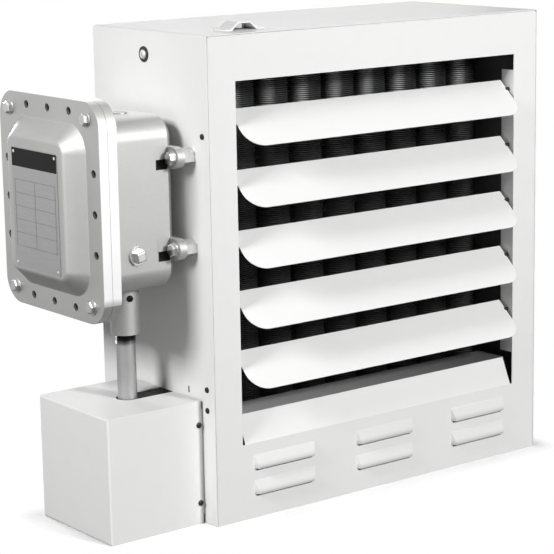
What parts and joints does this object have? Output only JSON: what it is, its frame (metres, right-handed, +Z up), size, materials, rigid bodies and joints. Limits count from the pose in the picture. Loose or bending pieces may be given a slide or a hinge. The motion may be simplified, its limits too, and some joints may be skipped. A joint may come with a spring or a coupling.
{
  "type": "explosion-proof heater",
  "caption": "Explosion-proof air heater: sheet cabinet with tilting louvre blades, dark tube core, rear fan and motor, side terminal cover, and a cast bolted control enclosure fed by conduit.",
  "frame": {"origin": "middle of the cabinet's base", "axes": "+Z up, -Y out of the front, +X to the right of the front"},
  "size_m": [0.7612, 0.4844, 0.661],
  "materials": {
    "cabinet_paint": "satin white paint",
    "louvre_paint": "satin white paint",
    "core_black": "flat black heat-proof paint",
    "cast_aluminium": "fine sand-cast, satin",
    "zinc_steel": "bright zinc",
    "conduit_zinc": "galvanised",
    "element_steel": "plain steel",
    "plate_metal": "etched, blank",
    "subplate_zinc": "yellow zinc",
    "control_plastic": "moulded",
    "transformer_iron": "varnished laminations",
    "fan_aluminium": "rolled sheet",
    "motor_paint": "grey enamel",
    "spider_paint": "black paint"
  },
  "bodies": {
    "heater": {"cabinet": "cabinet_paint", "front_panel": "cabinet_paint", "bottom_pan": "cabinet_paint", "rear_panel": "cabinet_paint", "louvre_strip_left": "cabinet_paint", "louvre_strip_right": "cabinet_paint", "terminal_cover": "cabinet_paint", "cover_angles": "cabinet_paint", "hanger_hood": "cabinet_paint", "top_header": "core_black", "bottom_header": "core_black", "core_tubes": "core_black", "core_saddles": "core_black", "core_brackets": "core_black", "enclosure_body": "cast_aluminium", "enclosure_cover": "cast_aluminium", "terminal_housing": "cast_aluminium", "terminal_cap": "cast_aluminium", "hanger_nut": "zinc_steel", "core_bolts": "zinc_steel", "corner_bolts": "zinc_steel", "lug_bolts": "zinc_steel", "standoffs": "zinc_steel", "side_plug": "zinc_steel", "top_plug": "zinc_steel", "conduit": "conduit_zinc", "heating_elements": "element_steel", "element_flange": "element_steel", "rating_plate": "plate_metal", "subplate": "subplate_zinc", "contactor": "control_plastic", "terminal_block": "control_plastic", "transformer": "transformer_iron", "motor_frame": "motor_paint", "front_bell": "motor_paint", "rear_bell": "motor_paint", "motor_box": "motor_paint", "motor_box_cover": "motor_paint", "motor_spider": "spider_paint", "fan_guard": "spider_paint"},
    "louvre_1": {"louvre_1": "louvre_paint"},
    "louvre_2": {"louvre_2": "louvre_paint"},
    "louvre_3": {"louvre_3": "louvre_paint"},
    "louvre_4": {"louvre_4": "louvre_paint"},
    "louvre_5": {"louvre_5": "louvre_paint"},
    "rotor": {"fan": "fan_aluminium", "motor_shaft": "element_steel"}
  },
  "joints": [
    {"name": "louvre_1_tilt", "type": "hinge", "parent": "heater", "child": "louvre_1", "pos_m": [0, -0.1215, 0.5385], "axis": [1, 0, 0], "range_deg": [-42, 38]},
    {"name": "louvre_2_tilt", "type": "hinge", "parent": "heater", "child": "louvre_2", "pos_m": [0, -0.1215, 0.45767], "axis": [1, 0, 0], "range_deg": [-42, 38]},
    {"name": "louvre_3_tilt", "type": "hinge", "parent": "heater", "child": "louvre_3", "pos_m": [0, -0.1215, 0.37683], "axis": [1, 0, 0], "range_deg": [-42, 38]},
    {"name": "louvre_4_tilt", "type": "hinge", "parent": "heater", "child": "louvre_4", "pos_m": [0, -0.1215, 0.296], "axis": [1, 0, 0], "range_deg": [-42, 38]},
    {"name": "louvre_5_tilt", "type": "hinge", "parent": "heater", "child": "louvre_5", "pos_m": [0, -0.1215, 0.21517], "axis": [1, 0, 0], "range_deg": [-42, 38]},
    {"name": "fan_spin", "type": "hinge", "parent": "heater", "child": "rotor", "pos_m": [0, 0.1285, 0.34], "axis": [0, 1, 0], "continuous": true}
  ]
}
